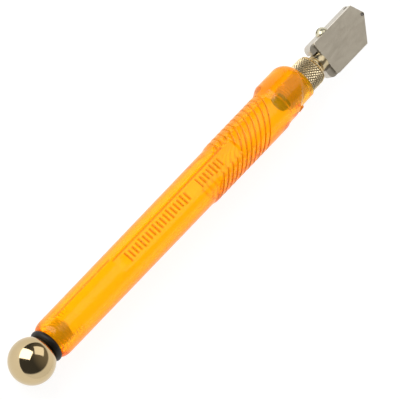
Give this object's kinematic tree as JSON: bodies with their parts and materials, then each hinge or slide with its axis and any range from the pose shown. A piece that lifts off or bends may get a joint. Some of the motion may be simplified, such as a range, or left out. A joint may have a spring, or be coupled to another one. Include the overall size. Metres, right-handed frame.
{
  "type": "oil-fed glass cutter",
  "caption": "Pencil-grip glass cutter: transparent oil-reservoir handle, ball cap, knurled collar, spring-loaded shaft and wide swivel head with a small wheel.",
  "frame": {"origin": "centre of the tool's box in plan, on the surface that it lies on", "axes": "+X along the handle towards the cutting wheel, +Z out of the head's wide face, +Y towards the lock screw"},
  "size_m": [0.1724, 0.0163, 0.0153],
  "materials": {
    "amber_plastic": "clear amber, glossy, moulded",
    "polished_brass": "polished pale brass",
    "collar_brass": "knurled, pale brass",
    "shaft_brass": "turned brass",
    "black_rubber": "smooth, oily",
    "spring_steel": "drawn wire",
    "satin_nickel": "satin nickel plate",
    "screw_brass": "bright brass",
    "carbide": "ground carbide",
    "wick_cotton": "twisted cotton, soaked in oil"
  },
  "bodies": {
    "handle": {"handle": "amber_plastic", "collar": "collar_brass", "collar_seal": "black_rubber", "valve_seat": "shaft_brass", "valve_spring": "spring_steel", "shaft_o_ring": "black_rubber"},
    "cap_ring": {"cap_o_ring": "black_rubber"},
    "cap": {"ball_cap": "polished_brass"},
    "plunger": {"shaft": "shaft_brass", "valve_poppet": "spring_steel", "valve_washer": "black_rubber", "wick": "wick_cotton"},
    "head": {"head_body": "satin_nickel", "head_plate": "satin_nickel", "wheel_axle": "spring_steel"},
    "lock_screw": {"lock_screw": "screw_brass"},
    "wheel": {"cutting_wheel": "carbide"}
  },
  "joints": [
    {"name": "cap_slide", "type": "slide", "parent": "handle", "child": "cap_ring", "axis": [-1, 0, 0], "range_m": [0, 0.0101]},
    {"name": "cap_turn", "type": "hinge", "parent": "cap_ring", "child": "cap", "pos_m": [-0.0786, -0.0005, 0.00765], "axis": [-1, 0, 0], "range_deg": [0, 2880]},
    {"name": "shaft_plunge", "type": "slide", "parent": "handle", "child": "plunger", "axis": [-1, 0, 0], "range_m": [0, 0.0012], "stiffness_N_per_m": 1500, "springref_m": -0.002, "deforming": ["valve_spring"]},
    {"name": "head_swivel", "type": "hinge", "parent": "plunger", "child": "head", "pos_m": [0.0678, -0.0005, 0.00765], "axis": [1, 0, 0], "range_deg": [-15, 15]},
    {"name": "lock_screw_turn", "type": "hinge", "parent": "head", "child": "lock_screw", "pos_m": [0.0708, 0.00555, 0.00765], "axis": [0, 1, 0], "range_deg": [0, 360]},
    {"name": "wheel_spin", "type": "hinge", "parent": "head", "child": "wheel", "pos_m": [0.085, 0.00065, 0.00765], "axis": [0, 0, 1], "continuous": true}
  ],
  "couplings": [
    {"joint": "cap_slide", "follows": "cap_turn", "m_per_rad": 0.00019894}
  ]
}
